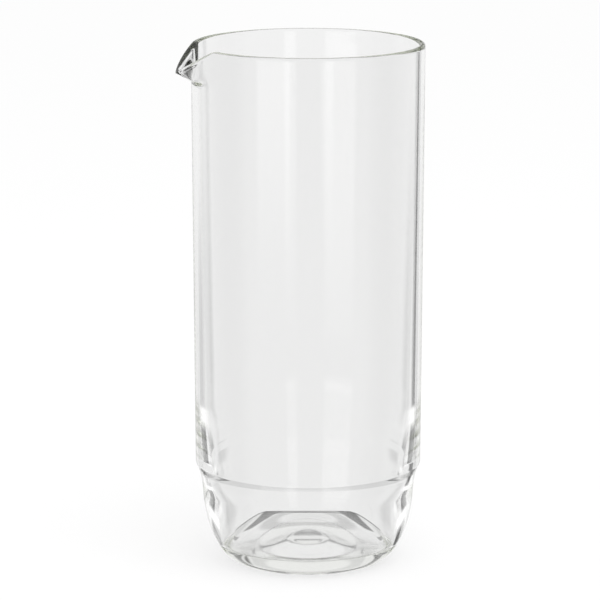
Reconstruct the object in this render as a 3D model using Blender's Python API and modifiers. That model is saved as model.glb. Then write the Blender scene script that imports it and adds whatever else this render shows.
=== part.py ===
"""Clear glass carafe: one vessel of glass with a stepped-in foot, a pushed-up base and a pulled pouring lip.

Metres, +Z up. The carafe stands on Z = 0 and its lip points to -X. The origin is the middle of its outline
seen from above, so the vessel's own axis stands half the lip's reach to +X of it.
"""

import math

import bmesh
import bpy

# Outside of the vessel
HEIGHT = 0.2104
RIM_RADIUS = 0.0465
BODY_RADIUS = 0.0455
SHOULDER_TOP = 0.0410
SHOULDER_BOTTOM = 0.0315
FOOT_INSET = 0.0025
FOOT_CURVE_HEIGHT = 0.0330
STAND_RADIUS = 0.0278
STAND_WIDTH = 0.0068

# Push-up under the base
PUNT_HEIGHT = 0.0032
PUNT_TOP_RADIUS = 0.0057

# Glass thickness and the inside
RIM_WALL = 0.0025
BODY_WALL = 0.0034
CORNER_WALL = 0.0036
FLOOR_THICKNESS = 0.0084
FLOOR_DOME = 0.0035
INNER_LEAN_TOP = 0.0668
INNER_BOW = 1.36

# Pouring lip, pulled out of the rim at -X
LIP_HALF_ANGLE = math.radians(19.0)
LIP_REACH = 0.0075
LIP_DROP = 0.0090
LIP_DEPTH = 0.0150
LIP_ROUNDING = 0.15

# How finely the round shapes are divided
TURN_STEPS = 72
FLOOR_STEPS = 6
LEAN_STEPS = 10
LIP_ROWS = 6
RIM_STEPS = 4
SHOULDER_STEPS = 7
FOOT_STEPS = 9
PUNT_STEPS = 6

MERGE_DISTANCE = 0.00001
GLASS_COLOUR = (0.93, 0.96, 0.93, 1.0)
GLASS_IOR = 1.5

AXIS_X = LIP_REACH / 2
INNER_FLOOR_EDGE = PUNT_HEIGHT + FLOOR_THICKNESS - FLOOR_DOME


def ease(t):
    """Smooth step from 0 to 1."""
    t = min(max(t, 0.0), 1.0)
    return t * t * (3 - 2 * t)


def soft_positive(t):
    """t above 0 and 0 below it, with the corner between them rounded."""
    if t <= -LIP_ROUNDING:
        return 0.0
    if t >= LIP_ROUNDING:
        return t
    return (t + LIP_ROUNDING) ** 2 / (4 * LIP_ROUNDING)


def fractions(steps):
    """Even fractions after 0, up to and with 1."""
    return [(i + 1) / steps for i in range(steps)]


def foot_radius(z):
    """Outer radius of the foot: an ellipse that meets the standing ring level."""
    start = math.asin((FOOT_CURVE_HEIGHT - SHOULDER_BOTTOM) / FOOT_CURVE_HEIGHT)
    half_width = (BODY_RADIUS - FOOT_INSET - STAND_RADIUS) / math.cos(start)
    rise = (FOOT_CURVE_HEIGHT - z) / FOOT_CURVE_HEIGHT
    return STAND_RADIUS + half_width * math.sqrt(max(1 - rise * rise, 0.0))


def outer_radius(z):
    """Outer radius of the vessel at a height."""
    if z >= SHOULDER_TOP:
        return BODY_RADIUS + (RIM_RADIUS - BODY_RADIUS) * (z - SHOULDER_TOP) / (HEIGHT - SHOULDER_TOP)
    if z >= SHOULDER_BOTTOM:
        return BODY_RADIUS - FOOT_INSET * ease((SHOULDER_TOP - z) / (SHOULDER_TOP - SHOULDER_BOTTOM))
    return foot_radius(z)


def inner_radius(z):
    """Inner radius of the straight wall, which thins from the base to the rim."""
    up = (z - INNER_LEAN_TOP) / (HEIGHT - INNER_LEAN_TOP)
    return outer_radius(z) - BODY_WALL + (BODY_WALL - RIM_WALL) * up


def inside_profile():
    """Points (radius, height) from the middle of the domed floor up the leaning, slightly bowed inside to the rim."""
    edge = outer_radius(INNER_FLOOR_EDGE) - CORNER_WALL
    points = [(0.0, INNER_FLOOR_EDGE + FLOOR_DOME)]
    for t in fractions(FLOOR_STEPS):
        points.append((edge * t, INNER_FLOOR_EDGE + FLOOR_DOME * (1 - ease(t))))
    reach = inner_radius(INNER_LEAN_TOP) - edge
    rise = INNER_LEAN_TOP - INNER_FLOOR_EDGE
    for t in fractions(LEAN_STEPS):
        turn = t * math.pi / 2
        out = math.sin(turn) ** (2 / INNER_BOW)
        below = max(math.cos(turn), 0.0) ** (2 / INNER_BOW)
        points.append((edge + reach * out, INNER_LEAN_TOP - rise * below))
    points.extend((inner_radius(z), z) for z in lip_heights())
    return points


def lip_heights():
    """Heights of the rows that the lip is pulled from, from its foot up to the rim's rounding."""
    high = HEIGHT - RIM_WALL / 2
    low = high - LIP_DEPTH * (1 + LIP_ROUNDING)
    return [low + (high - low) * i / LIP_ROWS for i in range(LIP_ROWS + 1)]


def rim_profile():
    """Points over the fire-rounded rim, from the inside to the outside."""
    middle = RIM_RADIUS - RIM_WALL / 2
    turns = [math.pi * t for t in fractions(RIM_STEPS)[:-1]]
    return [
        (middle - RIM_WALL / 2 * math.cos(turn), HEIGHT - RIM_WALL / 2 * (1 - math.sin(turn)))
        for turn in turns
    ]


def outside_profile():
    """Points from the rim down the outside to the standing ring."""
    points = [(outer_radius(z), z) for z in reversed(lip_heights())]
    points.append((outer_radius(SHOULDER_TOP), SHOULDER_TOP))
    for t in fractions(SHOULDER_STEPS):
        z = SHOULDER_TOP - (SHOULDER_TOP - SHOULDER_BOTTOM) * t
        points.append((outer_radius(z), z))
    start = math.asin((FOOT_CURVE_HEIGHT - SHOULDER_BOTTOM) / FOOT_CURVE_HEIGHT)
    for t in fractions(FOOT_STEPS):
        turn = start + (math.pi / 2 - start) * t
        z = FOOT_CURVE_HEIGHT * (1 - math.sin(turn))
        points.append((foot_radius(z), z))
    return points


def punt_profile():
    """Points from the standing ring up the push-up to its middle."""
    ring = STAND_RADIUS - STAND_WIDTH
    points = [(ring, 0.0)]
    for t in fractions(PUNT_STEPS):
        points.append((ring + (PUNT_TOP_RADIUS - ring) * t, PUNT_HEIGHT * ease(t)))
    points.append((0.0, PUNT_HEIGHT))
    return points


def pull_lip(mesh):
    """Draws the rim out and down into a pointed pouring lip at -X."""
    for vertex in mesh.vertices:
        radius = math.hypot(vertex.co.x, vertex.co.y)
        if radius < MERGE_DISTANCE:
            continue
        depth = max(HEIGHT - RIM_WALL / 2 - vertex.co.z, 0.0)
        away = math.acos(max(-1.0, min(1.0, -vertex.co.x / radius)))
        share = soft_positive(1 - away / LIP_HALF_ANGLE) * soft_positive(1 - depth / LIP_DEPTH)
        stretch = 1 + LIP_REACH * share / radius
        vertex.co.x *= stretch
        vertex.co.y *= stretch
        vertex.co.z -= LIP_DROP * share


def glass_material():
    """Clear glass with a faint green cast."""
    material = bpy.data.materials.new("clear_glass")
    material.use_nodes = True
    shader = material.node_tree.nodes["Principled BSDF"]
    shader.inputs["Base Color"].default_value = GLASS_COLOUR
    shader.inputs["Metallic"].default_value = 0.0
    shader.inputs["Roughness"].default_value = 0.0
    shader.inputs["IOR"].default_value = GLASS_IOR
    shader.inputs["Transmission Weight"].default_value = 1.0
    return material


def turned_mesh(name, points):
    """Turns a profile about Z with a Screw modifier and returns the closed mesh."""
    profile = bpy.data.meshes.new(name + "_profile")
    edges = [(i, i + 1) for i in range(len(points) - 1)]
    profile.from_pydata([(radius, 0.0, z) for radius, z in points], edges, [])
    guide = bpy.data.objects.new(name + "_profile", profile)
    bpy.context.scene.collection.objects.link(guide)
    screw = guide.modifiers.new("Turn", "SCREW")
    screw.axis = "Z"
    screw.steps = TURN_STEPS
    screw.render_steps = TURN_STEPS
    screw.use_merge_vertices = True
    screw.merge_threshold = MERGE_DISTANCE
    graph = bpy.context.evaluated_depsgraph_get()
    mesh = bpy.data.meshes.new_from_object(guide.evaluated_get(graph))
    bpy.data.objects.remove(guide)
    bpy.data.meshes.remove(profile)
    mesh.name = name
    return mesh


def triangulate(mesh):
    """Splits the twisted faces of the lip the same way on every run."""
    work = bmesh.new()
    work.from_mesh(mesh)
    bmesh.ops.triangulate(work, faces=work.faces)
    work.to_mesh(mesh)
    work.free()


def build_carafe():
    """Makes the glass vessel in its own collection."""
    collection = bpy.data.collections.new("carafe")
    bpy.context.scene.collection.children.link(collection)
    points = inside_profile() + rim_profile() + outside_profile() + punt_profile()
    mesh = turned_mesh("glass_body", points)
    pull_lip(mesh)
    triangulate(mesh)
    mesh.shade_smooth()
    mesh.materials.append(glass_material())
    carafe = bpy.data.objects.new("glass_body", mesh)
    carafe.location.x = AXIS_X
    collection.objects.link(carafe)


def main():
    """Clears the scene and builds the carafe."""
    for existing in list(bpy.data.objects):
        bpy.data.objects.remove(existing)
    build_carafe()


main()
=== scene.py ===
"""Clear glass carafe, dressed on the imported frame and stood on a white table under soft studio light.

Metres, +Z up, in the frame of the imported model. The carafe stands on Z = 0 and its lip points to -X.
"""

from __future__ import annotations

import logging
import math
from dataclasses import dataclass, field
from enum import Enum
from typing import Any

import bpy
from mathutils import Matrix, Vector

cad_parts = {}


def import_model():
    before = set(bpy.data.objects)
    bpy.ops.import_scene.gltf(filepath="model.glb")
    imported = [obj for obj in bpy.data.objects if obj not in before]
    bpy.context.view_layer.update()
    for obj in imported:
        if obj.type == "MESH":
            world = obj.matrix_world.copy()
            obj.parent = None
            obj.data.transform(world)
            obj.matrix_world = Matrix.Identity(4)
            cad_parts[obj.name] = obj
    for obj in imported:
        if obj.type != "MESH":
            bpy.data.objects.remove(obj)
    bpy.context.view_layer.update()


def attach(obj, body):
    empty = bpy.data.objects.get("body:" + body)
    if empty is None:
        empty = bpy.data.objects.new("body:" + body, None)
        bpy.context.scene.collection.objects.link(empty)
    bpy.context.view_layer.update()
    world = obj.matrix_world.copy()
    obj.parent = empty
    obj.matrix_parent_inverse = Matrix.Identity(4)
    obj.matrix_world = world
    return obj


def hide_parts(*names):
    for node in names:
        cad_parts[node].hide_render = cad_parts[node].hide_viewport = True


LOG = logging.getLogger("carafe")
IMAGE_SIDE = 600
MANY_BOUNCES = 200
MERGE_DISTANCE = 0.000002
HALF_TURN = 180.0
TO_DEGREES = math.degrees(1.0)

Point = tuple[float, float]
Triple = tuple[float, float, float]
Inputs = dict[str | int, Any]


class PanelKind(Enum):
    """What a panel of the studio does to the glass."""

    # Dark flags stand for black cards beside the carafe. The same kind also marks painted shade, where the
    # surroundings are darkened under the carafe in place of the table's shadow
    FLAG_AND_PAINTED_SHADE = "dark flag and painted shade"
    SOFTBOX = "soft box"


class NodeSketch:
    """Adds and joins nodes in one node tree."""

    def __init__(self, tree: bpy.types.NodeTree) -> None:
        """Keeps the tree that the nodes go into.

        Args:
            tree: The tree to draw in.
        """
        self.tree = tree

    def take(self, kind: str, *names: str) -> None:
        """Gives the tree inputs of its own.

        Args:
            kind: The type name of the sockets.
            names: A name for each input.
        """
        for name in names:
            self.tree.interface.new_socket(name, in_out="INPUT", socket_type=kind)

    def give(self, kind: str, name: str) -> None:
        """Gives the tree an output of its own.

        Args:
            kind: The type name of the socket.
            name: The output's name.
        """
        self.tree.interface.new_socket(name, in_out="OUTPUT", socket_type=kind)

    def add(self, kind: str, inputs: Inputs | None = None, **settings: Any) -> bpy.types.Node:
        """Adds one node.

        Args:
            kind: The node's type name.
            inputs: Values or output sockets for its inputs, by name or number.
            settings: The node's own properties.

        Returns:
            The new node.
        """
        node = self.tree.nodes.new(kind)
        for name, value in settings.items():
            setattr(node, name, value)
        self.fill(node, inputs or {})
        return node

    def fill(self, node: bpy.types.Node, inputs: Inputs) -> None:
        """Links inputs of a node to other sockets, or sets their plain values.

        Args:
            node: The node to fill.
            inputs: Values or output sockets for its inputs, by name or number.
        """
        for key, value in inputs.items():
            if isinstance(value, bpy.types.NodeSocket):
                self.tree.links.new(value, node.inputs[key])
            else:
                node.inputs[key].default_value = value

    def math(self, operation: str, *values: Any) -> bpy.types.NodeSocket:
        """Adds a Math node.

        Args:
            operation: The Math node's operation.
            values: Its inputs, as sockets or numbers.

        Returns:
            The node's output socket.
        """
        node = self.add("ShaderNodeMath", dict(enumerate(values)), operation=operation)
        return node.outputs[0]


def ease(t: float) -> float:
    """Smooth step from 0 to 1."""
    t = min(max(t, 0.0), 1.0)
    return t * t * (3 - 2 * t)


def fractions(steps: int) -> list[float]:
    """Even fractions after 0, up to and with 1."""
    return [(i + 1) / steps for i in range(steps)]


@dataclass(frozen=True)
class ClearGlass:
    """Polished soda-lime glass: a faint grey-green cast, slight waviness and a worn standing ring."""

    name: str = "clear_glass"
    tint: Triple = (0.94, 0.94, 0.94)
    ior: float = 1.5
    absorption_tint: Triple = (0.875, 0.885, 0.846)
    absorption_density: float = 10.0
    wave_scale: float = 28.0
    wave_stretch: Triple = (1.0, 1.0, 0.45)
    wave_detail: float = 1.0
    wave_roughness: float = 0.4
    wave_height: float = 0.00003
    wear_height: float = 0.0006
    wear_roughness: float = 0.22
    wear_scale: float = 900.0

    def waves(self) -> bpy.types.NodeTree:
        """Builds the group that gives the glass its soft waviness.

        Returns:
            A shader group with a Scale input and a Height output.
        """
        group = bpy.data.node_groups.new("glass_waves", "ShaderNodeTree")
        sketch = NodeSketch(group)
        sketch.take("NodeSocketFloat", "Scale")
        sketch.give("NodeSocketFloat", "Height")
        into = sketch.add("NodeGroupInput").outputs
        place = sketch.add("ShaderNodeTexCoord").outputs["Object"]
        stretched = sketch.add("ShaderNodeMapping", {"Vector": place, "Scale": self.wave_stretch})
        noise = sketch.add("ShaderNodeTexNoise", {
            "Vector": stretched.outputs["Vector"],
            "Scale": into["Scale"],
            "Detail": self.wave_detail,
            "Roughness": self.wave_roughness,
        })
        sketch.add("NodeGroupOutput", {"Height": noise.outputs["Fac"]})
        return group

    def wear(self) -> bpy.types.NodeTree:
        """Builds the group that marks the scuffed standing ring.

        Returns:
            A shader group with Rise, Scale and Most inputs and a Roughness output.
        """
        group = bpy.data.node_groups.new("standing_wear", "ShaderNodeTree")
        sketch = NodeSketch(group)
        sketch.take("NodeSocketFloat", "Rise", "Scale", "Most")
        sketch.give("NodeSocketFloat", "Roughness")
        into = sketch.add("NodeGroupInput").outputs
        place = sketch.add("ShaderNodeTexCoord").outputs["Object"]
        height = sketch.add("ShaderNodeSeparateXYZ", {"Vector": place}).outputs["Z"]
        low = sketch.add("ShaderNodeMapRange", {
            "Value": height,
            "From Min": 0.0,
            "From Max": into["Rise"],
            "To Min": 1.0,
            "To Max": 0.0,
        })
        grain = sketch.add("ShaderNodeTexNoise", {"Vector": place, "Scale": into["Scale"]})
        scuffed = sketch.math("MULTIPLY", low.outputs["Result"], grain.outputs["Fac"])
        sketch.add("NodeGroupOutput", {"Roughness": sketch.math("MULTIPLY", scuffed, into["Most"])})
        return group

    def material(self) -> bpy.types.Material:
        """Builds the glass.

        Returns:
            The material, with its colour cast as absorption in the glass.
        """
        material = bpy.data.materials.new(self.name)
        material.use_nodes = True
        nodes = material.node_tree.nodes
        sketch = NodeSketch(material.node_tree)
        waves = sketch.add("ShaderNodeGroup", {"Scale": self.wave_scale}, node_tree=self.waves())
        bump = sketch.add("ShaderNodeBump", {
            "Height": waves.outputs["Height"],
            "Distance": self.wave_height,
        })
        wear = sketch.add("ShaderNodeGroup", {
            "Rise": self.wear_height,
            "Scale": self.wear_scale,
            "Most": self.wear_roughness,
        }, node_tree=self.wear())
        sketch.fill(nodes["Principled BSDF"], {
            "Base Color": (*self.tint, 1.0),
            "Metallic": 0.0,
            "IOR": self.ior,
            "Transmission Weight": 1.0,
            "Normal": bump.outputs["Normal"],
            "Roughness": wear.outputs["Roughness"],
        })
        depth = sketch.add("ShaderNodeVolumeAbsorption", {
            "Color": (*self.absorption_tint, 1.0),
            "Density": self.absorption_density,
        })
        sketch.fill(nodes["Material Output"], {"Volume": depth.outputs["Volume"]})
        return material


@dataclass(frozen=True)
class PouringLip:
    """The lip that is pulled out of the rim while the glass is soft."""

    half_angle: float = math.radians(19.0)
    reach: float = 0.0075
    drop: float = 0.0090
    depth: float = 0.0130
    rounding: float = 0.20
    tip_rounding: float = math.radians(1.5)


@dataclass(frozen=True)
class StepIn:
    """The step where the body draws in to the foot.

    Its turns are heights, going down, each with the slope of the outside there.
    """

    turns: tuple[Point, ...] = (
        (0.0411, 0.006), (0.0401, 0.450), (0.0382, 0.450), (0.0369, 0.270), (0.0290, 0.055),
    )

    @property
    def top(self) -> float:
        """Height where the step starts."""
        return self.turns[0][0]

    @property
    def bottom(self) -> float:
        """Height where the foot's curve takes over."""
        return self.turns[-1][0]

    def inset(self, z: float) -> float:
        """Adds up how far the outside has drawn in.

        Args:
            z: The height to stop at.

        Returns:
            The distance in from the body's radius.
        """
        drawn = 0.0
        for (high, slope), (low, next_slope) in zip(self.turns, self.turns[1:]):
            part = min(max(high - z, 0.0), high - low)
            drawn += part * (slope + (next_slope - slope) * part / (high - low) / 2)
        return drawn


@dataclass(frozen=True)
class Rows:
    """How many rows of faces each stretch of the section has."""

    floor: int = 30
    lean: int = 44
    wall: int = 24
    lip: int = 24
    rim: int = 14
    step: int = 60
    foot: int = 40
    punt: int = 24
    punt_top: int = 6


@dataclass
class GlassBody:
    """The one piece of glass: wall, rim, lip, stepped-in foot and pushed-up base."""

    height: float = 0.2104
    rim_radius: float = 0.0465
    body_radius: float = 0.0455
    foot_curve_height: float = 0.0330
    stand_radius: float = 0.0278
    stand_width: float = 0.0068
    punt_height: float = 0.0032
    punt_top_radius: float = 0.0057
    rim_wall: float = 0.0025
    body_wall: float = 0.0034
    corner_wall: float = 0.0036
    floor_thickness: float = 0.0084
    floor_dome: float = 0.0035
    inner_lean_top: float = 0.0668
    inner_bow: float = 1.36
    step: StepIn = field(default_factory=StepIn)
    lip: PouringLip = field(default_factory=PouringLip)
    finish: ClearGlass = field(default_factory=ClearGlass)
    rows: Rows = field(default_factory=Rows)
    segments: int = 256
    piece: bpy.types.Object | None = None

    @property
    def axis_x(self) -> float:
        """Where the vessel's own axis stands in the frame."""
        return self.lip.reach / 2

    @property
    def rim_line(self) -> float:
        """Height where the rim's rounding starts."""
        return self.height - self.rim_wall / 2

    @property
    def floor_edge(self) -> float:
        """Height of the inside floor at its edge."""
        return self.punt_height + self.floor_thickness - self.floor_dome

    @property
    def foot_start(self) -> float:
        """Angle on the foot's ellipse where the step meets it."""
        return math.asin((self.foot_curve_height - self.step.bottom) / self.foot_curve_height)

    def foot_radius(self, z: float) -> float:
        """Measures the foot's ellipse.

        Args:
            z: The height.

        Returns:
            The outer radius of the foot there.
        """
        widest = self.body_radius - self.step.inset(self.step.bottom)
        half_width = (widest - self.stand_radius) / math.cos(self.foot_start)
        rise = (self.foot_curve_height - z) / self.foot_curve_height
        return self.stand_radius + half_width * math.sqrt(max(1 - rise * rise, 0.0))

    def outer_radius(self, z: float) -> float:
        """Measures the outside of the vessel.

        Args:
            z: The height.

        Returns:
            The outer radius there.
        """
        if z >= self.step.top:
            up = (z - self.step.top) / (self.height - self.step.top)
            return self.body_radius + (self.rim_radius - self.body_radius) * up
        if z >= self.step.bottom:
            return self.body_radius - self.step.inset(z)
        return self.foot_radius(z)

    def inner_radius(self, z: float) -> float:
        """Inner radius at a height of the straight wall, which thins to the rim."""
        up = (z - self.inner_lean_top) / (self.height - self.inner_lean_top)
        return self.outer_radius(z) - self.body_wall + (self.body_wall - self.rim_wall) * up

    def wall_heights(self) -> list[float]:
        """Divides the wall into rows, closer together in the lip.

        Returns:
            The rows' heights, from the leaning part up to the rim.
        """
        low = self.rim_line - self.lip.depth * (1 + self.lip.rounding)
        plain = [
            self.inner_lean_top + (low - self.inner_lean_top) * t for t in fractions(self.rows.wall)
        ]
        return plain + [low + (self.rim_line - low) * t for t in fractions(self.rows.lip)]

    def inside_points(self) -> list[Point]:
        """Draws the inside.

        Returns:
            Points from the middle of the domed floor up the leaning, slightly bowed inside to the rim.
        """
        edge = self.outer_radius(self.floor_edge) - self.corner_wall
        points = [(0.0, self.floor_edge + self.floor_dome)]
        for t in fractions(self.rows.floor):
            points.append((edge * t, self.floor_edge + self.floor_dome * (1 - ease(t))))
        reach = self.inner_radius(self.inner_lean_top) - edge
        rise = self.inner_lean_top - self.floor_edge
        for t in fractions(self.rows.lean):
            turn = t * math.pi / 2
            out = math.sin(turn) ** (2 / self.inner_bow)
            below = max(math.cos(turn), 0.0) ** (2 / self.inner_bow)
            points.append((edge + reach * out, self.inner_lean_top - rise * below))
        points.extend((self.inner_radius(z), z) for z in self.wall_heights())
        return points

    def rim_points(self) -> list[Point]:
        """Draws the fire-rounded rim.

        Returns:
            Points over the rim, from the inside to the outside.
        """
        half = self.rim_wall / 2
        middle = self.rim_radius - half
        points = []
        for t in fractions(self.rows.rim)[:-1]:
            turn = math.pi * t
            points.append((middle - half * math.cos(turn), self.height - half * (1 - math.sin(turn))))
        return points

    def outside_points(self) -> list[Point]:
        """Draws the outside.

        Returns:
            Points from the rim down the wall, the step and the foot to the standing ring.
        """
        points = [(self.outer_radius(z), z) for z in reversed(self.wall_heights())]
        for t in [0.0, *fractions(self.rows.step)]:
            z = self.step.top - (self.step.top - self.step.bottom) * t
            points.append((self.outer_radius(z), z))
        start = self.foot_start
        for t in fractions(self.rows.foot):
            z = self.foot_curve_height * (1 - math.sin(start + (math.pi / 2 - start) * t))
            points.append((self.foot_radius(z), z))
        return points

    def punt_points(self) -> list[Point]:
        """Draws the push-up under the base.

        Returns:
            Points from the standing ring up the push-up to its middle.
        """
        ring = self.stand_radius - self.stand_width
        points = [(ring, 0.0)]
        for t in fractions(self.rows.punt):
            points.append((ring + (self.punt_top_radius - ring) * t, self.punt_height * ease(t)))
        for t in fractions(self.rows.punt_top):
            points.append((self.punt_top_radius * (1 - t), self.punt_height))
        return points

    def section_mesh(self) -> bpy.types.Mesh:
        """Lays the whole section flat, from the middle of the floor over the rim to the underside.

        Returns:
            A mesh of edges, with radii counted from the rim's and heights running down its Y.
        """
        points = self.inside_points() + self.rim_points() + self.outside_points() + self.punt_points()
        flat = [(radius - self.rim_radius, -z, 0.0) for radius, z in points]
        edges = [(i, i + 1) for i in range(len(points) - 1)]
        mesh = bpy.data.meshes.new("carafe_section")
        mesh.from_pydata(flat, edges, [])
        return mesh

    def turning_tree(self) -> bpy.types.NodeTree:
        """Builds the Geometry Nodes that turn the section about the axis and pull out the lip.

        Returns:
            The tree, with named inputs for its sizes.
        """
        tree = bpy.data.node_groups.new("turned_glass", "GeometryNodeTree")
        sketch = NodeSketch(tree)
        sketch.take("NodeSocketGeometry", "Section")
        sketch.take("NodeSocketInt", "Segments")
        sketch.take("NodeSocketFloat", "Turn Radius", "Axis X", "Rim Line", "Lip Half Angle")
        sketch.take("NodeSocketFloat", "Lip Reach", "Lip Drop", "Lip Depth", "Lip Rounding", "Tip Rounding")
        sketch.take("NodeSocketMaterial", "Glass")
        sketch.give("NodeSocketGeometry", "Carafe")
        size = sketch.add("NodeGroupInput").outputs
        circle = sketch.add("GeometryNodeCurvePrimitiveCircle", {
            "Resolution": size["Segments"],
            "Radius": size["Turn Radius"],
        })
        section = sketch.add("GeometryNodeMeshToCurve", {"Mesh": size["Section"]})
        turned = sketch.add("GeometryNodeCurveToMesh", {
            "Curve": circle.outputs["Curve"],
            "Profile Curve": section.outputs["Curve"],
        })
        closed = sketch.add("GeometryNodeMergeByDistance", {
            "Geometry": turned.outputs["Mesh"],
            "Distance": MERGE_DISTANCE,
        })
        pulled = sketch.add("GeometryNodeSetPosition", {
            "Geometry": closed.outputs["Geometry"],
            "Offset": self.lip_offset(sketch, size),
        })
        shift = sketch.add("ShaderNodeCombineXYZ", {"X": size["Axis X"]})
        placed = sketch.add("GeometryNodeTransform", {
            "Geometry": pulled.outputs["Geometry"],
            "Translation": shift.outputs["Vector"],
        })
        smooth = sketch.add("GeometryNodeSetShadeSmooth", {"Geometry": placed.outputs["Geometry"]})
        real = sketch.add("GeometryNodeRealizeInstances", {"Geometry": smooth.outputs["Geometry"]})
        glass = sketch.add("GeometryNodeSetMaterial", {
            "Geometry": real.outputs["Geometry"],
            "Material": size["Glass"],
        })
        sketch.add("NodeGroupOutput", {"Carafe": glass.outputs["Geometry"]})
        return tree

    def lip_offset(self, sketch: NodeSketch, size: bpy.types.NodeOutputs) -> bpy.types.NodeSocket:
        """Adds the nodes that say how far each point moves to form the lip.

        Args:
            sketch: The tree that the nodes go into.
            size: The tree's input sockets.

        Returns:
            The offset, as a vector field.
        """
        place = sketch.add("GeometryNodeInputPosition").outputs["Position"]
        x, y, z = sketch.add("ShaderNodeSeparateXYZ", {"Vector": place}).outputs
        flat = sketch.add("ShaderNodeCombineXYZ", {"X": x, "Y": y}).outputs["Vector"]
        outward = sketch.add("ShaderNodeVectorMath", {0: flat}, operation="NORMALIZE").outputs["Vector"]
        away = sketch.math("ARCTAN2", sketch.math("ABSOLUTE", y), sketch.math("MULTIPLY", x, -1.0))
        tip = sketch.math("MULTIPLY", size["Tip Rounding"], size["Tip Rounding"])
        blunt = sketch.math("SQRT", sketch.math("MULTIPLY_ADD", away, away, tip))
        blunt = sketch.math("SUBTRACT", blunt, size["Tip Rounding"])
        across = sketch.math("SUBTRACT", 1.0, sketch.math("DIVIDE", blunt, size["Lip Half Angle"]))
        depth = sketch.math("MAXIMUM", sketch.math("SUBTRACT", size["Rim Line"], z), 0.0)
        down = sketch.math("SUBTRACT", 1.0, sketch.math("DIVIDE", depth, size["Lip Depth"]))
        share = sketch.math(
            "MULTIPLY",
            sketch.math("SMOOTH_MAX", across, 0.0, size["Lip Rounding"]),
            sketch.math("SMOOTH_MAX", down, 0.0, size["Lip Rounding"]),
        )
        out = sketch.math("MULTIPLY", share, size["Lip Reach"])
        push = sketch.add("ShaderNodeVectorMath", {0: outward, "Scale": out}, operation="SCALE")
        fall = sketch.math("MULTIPLY", sketch.math("MULTIPLY", share, size["Lip Drop"]), -1.0)
        sink = sketch.add("ShaderNodeCombineXYZ", {"Z": fall})
        moved = sketch.add("ShaderNodeVectorMath", {
            0: push.outputs["Vector"],
            1: sink.outputs["Vector"],
        }, operation="ADD")
        return moved.outputs["Vector"]

    def tree_values(self) -> dict[str, Any]:
        """Gathers what the turning tree takes, beside the section itself.

        Returns:
            A value for each named input.
        """
        return {
            "Segments": self.segments,
            "Turn Radius": self.rim_radius,
            "Axis X": self.axis_x,
            "Rim Line": self.rim_line,
            "Lip Half Angle": self.lip.half_angle,
            "Lip Reach": self.lip.reach,
            "Lip Drop": self.lip.drop,
            "Lip Depth": self.lip.depth,
            "Lip Rounding": self.lip.rounding,
            "Tip Rounding": self.lip.tip_rounding,
            "Glass": self.finish.material(),
        }

    def build(self) -> bpy.types.Object:
        """Makes the closed glass mesh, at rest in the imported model's frame.

        Returns:
            The new object, at the origin.
        """
        guide = bpy.data.objects.new("carafe_section", self.section_mesh())
        bpy.context.scene.collection.objects.link(guide)
        turn = guide.modifiers.new("Turn", "NODES")
        turn.node_group = self.turning_tree()
        values = self.tree_values()
        for socket in turn.node_group.interface.items_tree:
            if socket.name in values:
                turn[socket.identifier] = values[socket.name]
        graph = bpy.context.evaluated_depsgraph_get()
        mesh = bpy.data.meshes.new_from_object(guide.evaluated_get(graph))
        guide.modifiers.remove(turn)
        bpy.data.objects.remove(guide)
        mesh.name = "carafe_glass"
        self.piece = bpy.data.objects.new("carafe_glass", mesh)
        bpy.context.scene.collection.objects.link(self.piece)
        return self.piece

    def dress(self) -> None:
        """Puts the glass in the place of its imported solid.
        """
        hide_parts("glass_body")
        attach(self.piece, "root")


@dataclass(frozen=True)
class Panel:
    """A soft-edged light or dark area of the studio that only the glass shows.

    Angles are in degrees. The azimuth is counted to the right from straight behind the carafe.
    """

    name: str
    kind: PanelKind
    azimuth: float
    half_width: float
    elevation: float
    half_height: float
    edge: float
    change: float


@dataclass(frozen=True)
class SoftLamp:
    """A large area lamp that aims at the carafe, with its angles counted as a panel's are."""

    name: str
    azimuth: float
    elevation: float
    distance: float
    width: float
    power: float

    def build(self, centre: Vector, facing: float) -> bpy.types.Object:
        """Hangs the lamp.

        Args:
            centre: The vessel's axis on the table.
            facing: The camera's azimuth in degrees, from which the lamp's own is counted.

        Returns:
            The lamp.
        """
        light = bpy.data.lights.new(self.name, "AREA")
        light.shape = "SQUARE"
        light.size = self.width
        light.energy = self.power
        lamp = bpy.data.objects.new(self.name, light)
        lamp.matrix_world = (
            Matrix.Translation(centre)
            @ Matrix.Rotation(math.radians(facing - self.azimuth), 4, "Z")
            @ Matrix.Rotation(math.radians(self.elevation - 90.0), 4, "X")
            @ Matrix.Translation((0.0, 0.0, self.distance))
        )
        lamp.visible_camera = False
        lamp.visible_glossy = False
        lamp.visible_transmission = False
        bpy.context.scene.collection.objects.link(lamp)
        return lamp


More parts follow.
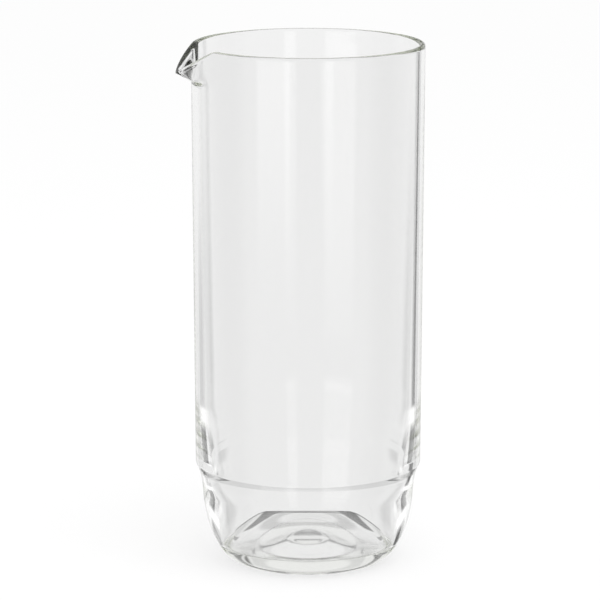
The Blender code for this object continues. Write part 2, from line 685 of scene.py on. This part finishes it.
@dataclass
class Table:
    """The white table that the carafe stands on."""

    radius: float = 3.0
    sides: int = 64
    drop: float = 0.0002
    colour: Triple = (0.9, 0.9, 0.9)
    shading: float = 0.25

    def build(self, centre: Vector) -> bpy.types.Object:
        """Lays the table top.

        Args:
            centre: The vessel's axis on the table.

        Returns:
            The table top.
        """
        mesh = bpy.data.meshes.new("table_top")
        turns = [2 * math.pi * i / self.sides for i in range(self.sides)]
        ring = [(self.radius * math.cos(turn), self.radius * math.sin(turn), -self.drop) for turn in turns]
        mesh.from_pydata(ring, [], [tuple(range(self.sides))])
        mesh.transform(Matrix.Translation(centre))
        mesh.materials.append(self.material())
        top = bpy.data.objects.new("table_top", mesh)
        top.visible_glossy = False
        top.visible_transmission = False
        bpy.context.scene.collection.objects.link(top)
        return top

    def material(self) -> bpy.types.Material:
        """Builds a white laminate that looks plain white to the camera and keeps the carafe's shadow.

        Returns:
            The material.
        """
        material = bpy.data.materials.new("white_table")
        material.use_nodes = True
        material.node_tree.nodes.clear()
        sketch = NodeSketch(material.node_tree)
        path = sketch.add("ShaderNodeLightPath").outputs
        glow = sketch.add("ShaderNodeEmission", {"Strength": 1.0})
        matt = sketch.add("ShaderNodeBsdfDiffuse", {"Color": (*self.colour, 1.0)})
        both = sketch.add("ShaderNodeMixShader", {
            0: sketch.math("MULTIPLY", path["Is Camera Ray"], 1.0 - self.shading),
            1: matt.outputs["BSDF"],
            2: glow.outputs["Emission"],
        })
        sketch.add("ShaderNodeOutputMaterial", {"Surface": both.outputs["Shader"]})
        return material


@dataclass
class StudioSky:
    """The studio round the table: white to the camera, and soft light and dark panels in the glass."""

    level: float = 1.0
    glass_level: float = 0.948
    panels: tuple[Panel, ...] = (
        # Name and kind, azimuth and half width, elevation and half height, soft edge, change of level
        Panel("right_flag", PanelKind.FLAG_AND_PAINTED_SHADE, 37.5, 5.0, -2.5, 13.0, 1.8, -0.80),
        Panel("left_flag", PanelKind.FLAG_AND_PAINTED_SHADE, -36.0, 8.0, -14.0, 2.5, 1.5, -0.30),
        Panel("low_right_box", PanelKind.SOFTBOX, 36.0, 14.0, -19.0, 2.2, 1.2, 0.35),
        Panel("low_left_box", PanelKind.SOFTBOX, -36.0, 14.0, -19.0, 2.2, 1.2, 0.35),
        Panel("low_right_flag", PanelKind.FLAG_AND_PAINTED_SHADE, 27.0, 9.0, -25.0, 3.7, 1.2, -0.85),
        Panel("low_left_flag", PanelKind.FLAG_AND_PAINTED_SHADE, -27.0, 9.0, -25.0, 3.7, 1.2, -0.85),
        Panel("front_left_box", PanelKind.SOFTBOX, -145.0, 17.0, 4.0, 15.0, 2.5, 0.90),
        Panel("front_right_box", PanelKind.SOFTBOX, 161.0, 6.0, 5.0, 15.0, 2.5, 0.90),
        # Painted shade: the next three panels darken the view down under the carafe to stand in for the
        # table's shadow beneath it, which the glass can't see because the table is hidden from its rays
        Panel("painted_shade_under_left", PanelKind.FLAG_AND_PAINTED_SHADE, -19.7, 5.3, -49.0, 12.5, 1.4, -0.94),
        Panel("painted_shade_under_right", PanelKind.FLAG_AND_PAINTED_SHADE, 18.3, 4.8, -49.0, 12.5, 1.4, -0.90),
        Panel("painted_shade_under_back", PanelKind.FLAG_AND_PAINTED_SHADE, 0.0, 14.0, -56.0, 5.0, 1.5, -0.70),
        Panel("back_gap_low", PanelKind.FLAG_AND_PAINTED_SHADE, 0.0, 10.0, 9.5, 2.0, 1.0, -0.80),
        Panel("back_gap_high", PanelKind.FLAG_AND_PAINTED_SHADE, 0.0, 10.0, 20.5, 2.8, 1.0, -0.55),
        Panel("left_gap", PanelKind.FLAG_AND_PAINTED_SHADE, -36.0, 26.0, 16.5, 3.5, 1.5, -0.75),
        Panel("right_gap", PanelKind.FLAG_AND_PAINTED_SHADE, 36.0, 26.0, 16.5, 3.5, 1.5, -0.75),
        Panel("back_low", PanelKind.FLAG_AND_PAINTED_SHADE, 0.0, 30.0, 1.5, 5.0, 1.5, -0.20),
        Panel("low_left", PanelKind.FLAG_AND_PAINTED_SHADE, -69.0, 37.0, -42.0, 13.0, 4.5, -0.28),
        Panel("low_right", PanelKind.FLAG_AND_PAINTED_SHADE, 72.0, 45.0, -42.0, 13.0, 4.5, -0.28),
        Panel("card_left", PanelKind.FLAG_AND_PAINTED_SHADE, -14.5, 3.5, -14.0, 3.5, 2.0, -0.22),
        Panel("card_right", PanelKind.FLAG_AND_PAINTED_SHADE, 14.5, 3.5, -14.0, 3.5, 2.0, -0.22),
        Panel("side_left", PanelKind.FLAG_AND_PAINTED_SHADE, -90.0, 20.0, -6.0, 18.0, 8.0, -0.22),
        Panel("side_right", PanelKind.FLAG_AND_PAINTED_SHADE, 90.0, 20.0, -6.0, 18.0, 8.0, -0.22),
    )

    def panel_group(self) -> bpy.types.NodeTree:
        """Builds the group that draws one soft panel.

        Returns:
            A shader group that gives the panel's change of level in a direction.
        """
        group = bpy.data.node_groups.new("soft_panel", "ShaderNodeTree")
        sketch = NodeSketch(group)
        sketch.take("NodeSocketFloat", "Azimuth", "Elevation", "Centre", "Half Width")
        sketch.take("NodeSocketFloat", "Middle", "Half Height", "Edge", "Change")
        sketch.give("NodeSocketFloat", "Level")
        into = sketch.add("NodeGroupInput").outputs
        aside = sketch.math("SUBTRACT", into["Azimuth"], into["Centre"])
        aside = sketch.math("WRAP", aside, HALF_TURN, -HALF_TURN)
        above = sketch.math("SUBTRACT", into["Elevation"], into["Middle"])
        share = into["Change"]
        for off, half in ((aside, into["Half Width"]), (above, into["Half Height"])):
            covered = sketch.add("ShaderNodeMapRange", {
                "Value": sketch.math("ABSOLUTE", off),
                "From Min": sketch.math("SUBTRACT", half, into["Edge"]),
                "From Max": sketch.math("ADD", half, into["Edge"]),
                "To Min": 1.0,
                "To Max": 0.0,
            }, interpolation_type="SMOOTHSTEP")
            share = sketch.math("MULTIPLY", share, covered.outputs["Result"])
        sketch.add("NodeGroupOutput", {"Level": share})
        return group

    def build(self, facing: float) -> bpy.types.World:
        """Makes the world.

        Args:
            facing: The camera's azimuth in degrees, from which the panels' azimuths are counted.

        Returns:
            The world.
        """
        world = bpy.data.worlds.new("studio")
        world.use_nodes = True
        world.node_tree.nodes.clear()
        sketch = NodeSketch(world.node_tree)
        place = sketch.add("ShaderNodeTexCoord").outputs["Generated"]
        turned = sketch.add("ShaderNodeMapping", {
            "Vector": place,
            "Rotation": (0.0, 0.0, -math.radians(facing)),
        }, vector_type="VECTOR")
        x, y, z = sketch.add("ShaderNodeSeparateXYZ", {"Vector": turned.outputs["Vector"]}).outputs
        azimuth = sketch.math("MULTIPLY", sketch.math("ARCTAN2", x, y), TO_DEGREES)
        elevation = sketch.math("MULTIPLY", sketch.math("ARCSINE", z), TO_DEGREES)
        group = self.panel_group()
        seen = self.glass_level
        for panel in self.panels:
            node = sketch.add("ShaderNodeGroup", {
                "Azimuth": azimuth,
                "Elevation": elevation,
                "Centre": panel.azimuth,
                "Half Width": panel.half_width,
                "Middle": panel.elevation,
                "Half Height": panel.half_height,
                "Edge": panel.edge,
                "Change": panel.change,
            }, node_tree=group)
            seen = sketch.math("ADD", node.outputs["Level"], seen)
            LOG.info("panel %s: %s", panel.name, panel.kind.value)
        path = sketch.add("ShaderNodeLightPath").outputs
        glass = sketch.math("MAXIMUM", path["Is Glossy Ray"], path["Is Transmission Ray"])
        plain = sketch.math("SUBTRACT", self.level, sketch.math("MULTIPLY", glass, self.level))
        level = sketch.math("MULTIPLY_ADD", glass, sketch.math("MAXIMUM", seen, 0.0), plain)
        light = sketch.add("ShaderNodeBackground", {"Color": (1.0, 1.0, 1.0, 1.0), "Strength": level})
        sketch.add("ShaderNodeOutputWorld", {"Surface": light.outputs["Background"]})
        bpy.context.scene.world = world
        return world


@dataclass
class PhotoCamera:
    """The long lens that the photograph was taken with, as fitted to the carafe's outline.

    Its azimuth is in degrees, its pitch in radians and its sensor in millimetres.
    """

    azimuth: float = -15.5
    distance: float = 1.450
    height: float = 0.4033
    pitch: float = 0.202
    focal_pixels: float = 3685.3
    axis_pixel: float = 308.2
    sensor: float = 36.0
    farthest: float = 100.0

    def build(self, centre: Vector) -> bpy.types.Object:
        """Places the camera and makes it the scene's.

        Args:
            centre: The vessel's axis on the table.

        Returns:
            The camera.
        """
        lens = bpy.data.cameras.new("photo_camera")
        lens.sensor_width = self.sensor
        lens.lens = self.focal_pixels / IMAGE_SIDE * self.sensor
        lens.clip_end = self.farthest
        camera = bpy.data.objects.new("photo_camera", lens)
        yaw = math.atan2(self.axis_pixel - IMAGE_SIDE / 2, self.focal_pixels)
        camera.matrix_world = (
            Matrix.Translation(centre)
            @ Matrix.Rotation(math.radians(self.azimuth), 4, "Z")
            @ Matrix.Translation((0.0, -self.distance, self.height))
            @ Matrix.Rotation(yaw, 4, "Z")
            @ Matrix.Rotation(math.pi / 2 - self.pitch, 4, "X")
        )
        bpy.context.scene.collection.objects.link(camera)
        bpy.context.scene.camera = camera
        return camera


@dataclass
class Studio:
    """Table, surroundings, lamps and camera."""

    table: Table = field(default_factory=Table)
    sky: StudioSky = field(default_factory=StudioSky)
    camera: PhotoCamera = field(default_factory=PhotoCamera)
    lamps: tuple[SoftLamp, ...] = (
        SoftLamp("soft_overhead", azimuth=150.0, elevation=62.0, distance=1.2, width=1.0, power=6.0),
    )

    def build(self, centre: Vector) -> None:
        """Sets up everything round the carafe.

        Args:
            centre: The vessel's axis on the table.
        """
        self.table.build(centre)
        self.sky.build(self.camera.azimuth)
        for lamp in self.lamps:
            lamp.build(centre, self.camera.azimuth)
            LOG.info("lamp %s: %.1f W", lamp.name, lamp.power)
        self.camera.build(centre)
        scene = bpy.context.scene
        scene.view_settings.view_transform = "Standard"
        scene.cycles.max_bounces = MANY_BOUNCES
        scene.cycles.glossy_bounces = MANY_BOUNCES
        scene.cycles.transmission_bounces = MANY_BOUNCES


def main() -> None:
    """Loads the frame, builds the carafe and its studio, and reports each piece."""
    logging.basicConfig(level=logging.INFO, format="%(name)s: %(message)s")
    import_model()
    body = GlassBody()
    piece = body.build()
    body.dress()
    LOG.info("piece %s: %d faces", piece.name, len(piece.data.polygons))
    Studio().build(Vector((body.axis_x, 0.0, 0.0)))


if __name__ == "__main__":
    main()
